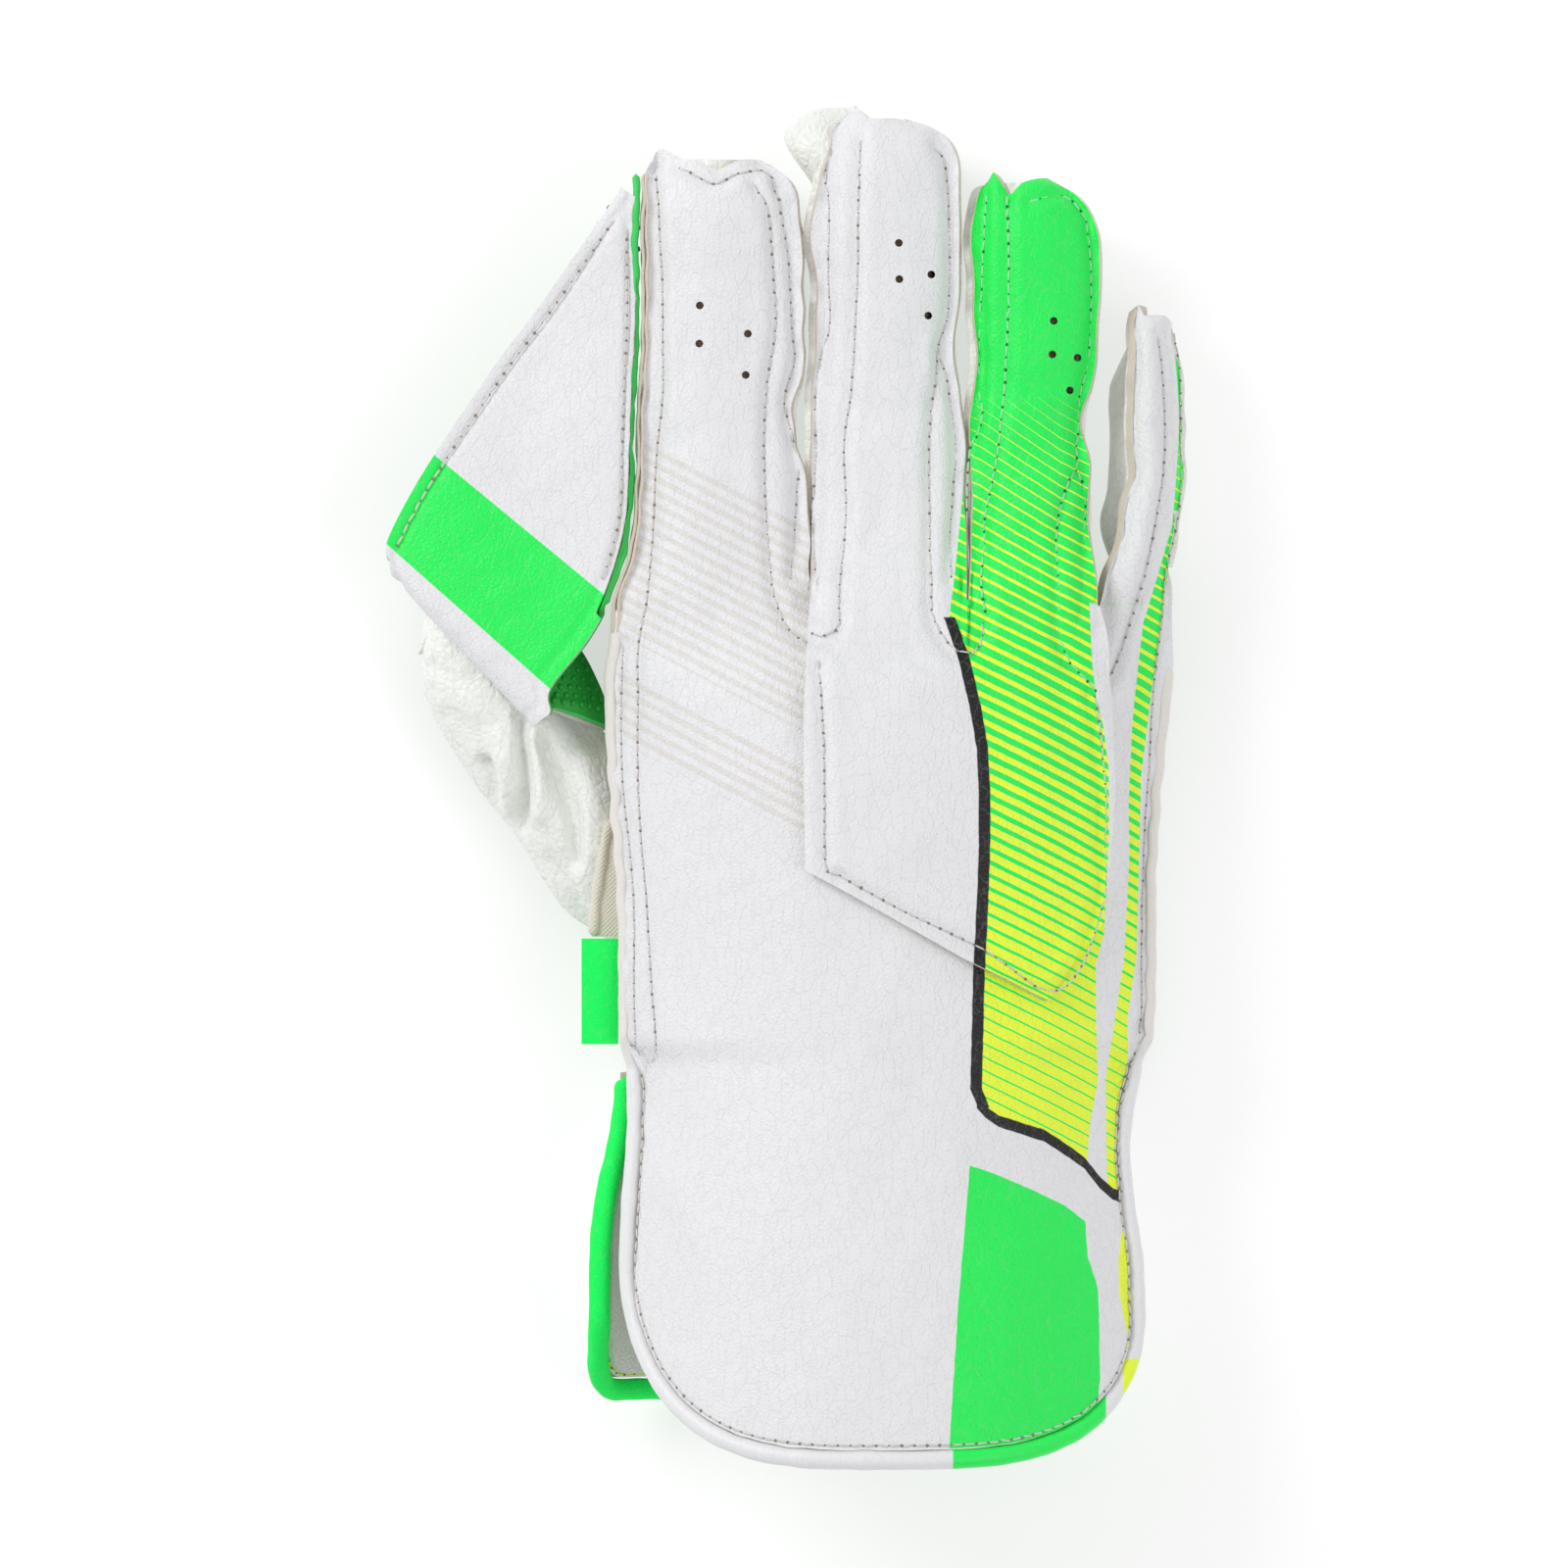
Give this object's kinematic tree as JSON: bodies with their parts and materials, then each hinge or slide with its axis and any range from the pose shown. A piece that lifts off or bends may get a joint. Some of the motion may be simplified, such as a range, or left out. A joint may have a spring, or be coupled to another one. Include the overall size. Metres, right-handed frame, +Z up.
{
  "type": "wicketkeeping glove",
  "caption": "Right-hand wicketkeeping glove lying palm down: padded leather back, webbed thumb, rubber-faced palm and open flared cuff.",
  "frame": {"origin": "middle of the glove's box, on the surface that it lies on", "axes": "+Y from the cuff to the fingertips, +X from the thumb side to the little finger, +Z up out of the back of the hand"},
  "size_m": [0.2042, 0.3452, 0.0746],
  "materials": {
    "white_leather": "white coated leather with a pebbled grain",
    "overlay_leather": "white coated leather, printed green and yellow over the ring finger",
    "soft_leather": "soft white leather with creases",
    "palm_rubber": "green pimpled rubber",
    "cream_cloth": "cream backing cloth",
    "lining_cloth": "grey-white towelling lining",
    "white_binding": "smooth white binding over a padded edge",
    "green_tape": "smooth bright green binding"
  },
  "bodies": {
    "root": {"hand_back": "white_leather", "finger_overlay": "overlay_leather", "palm_rubber": "palm_rubber", "index_side": "soft_leather", "gusset_index_middle": "soft_leather", "gusset_middle_ring": "soft_leather", "gusset_ring_little": "soft_leather", "little_side": "soft_leather", "thumb_side_gusset": "cream_cloth", "little_side_gusset": "white_leather", "thumb_back": "soft_leather", "thumb_rubber": "palm_rubber", "web_leather": "white_leather", "web_rubber": "palm_rubber", "palm_cuff": "white_leather", "cuff_lining": "lining_cloth", "back_binding": "white_binding", "palm_binding": "green_tape", "side_tag": "green_tape"}
  },
  "joints": []
}
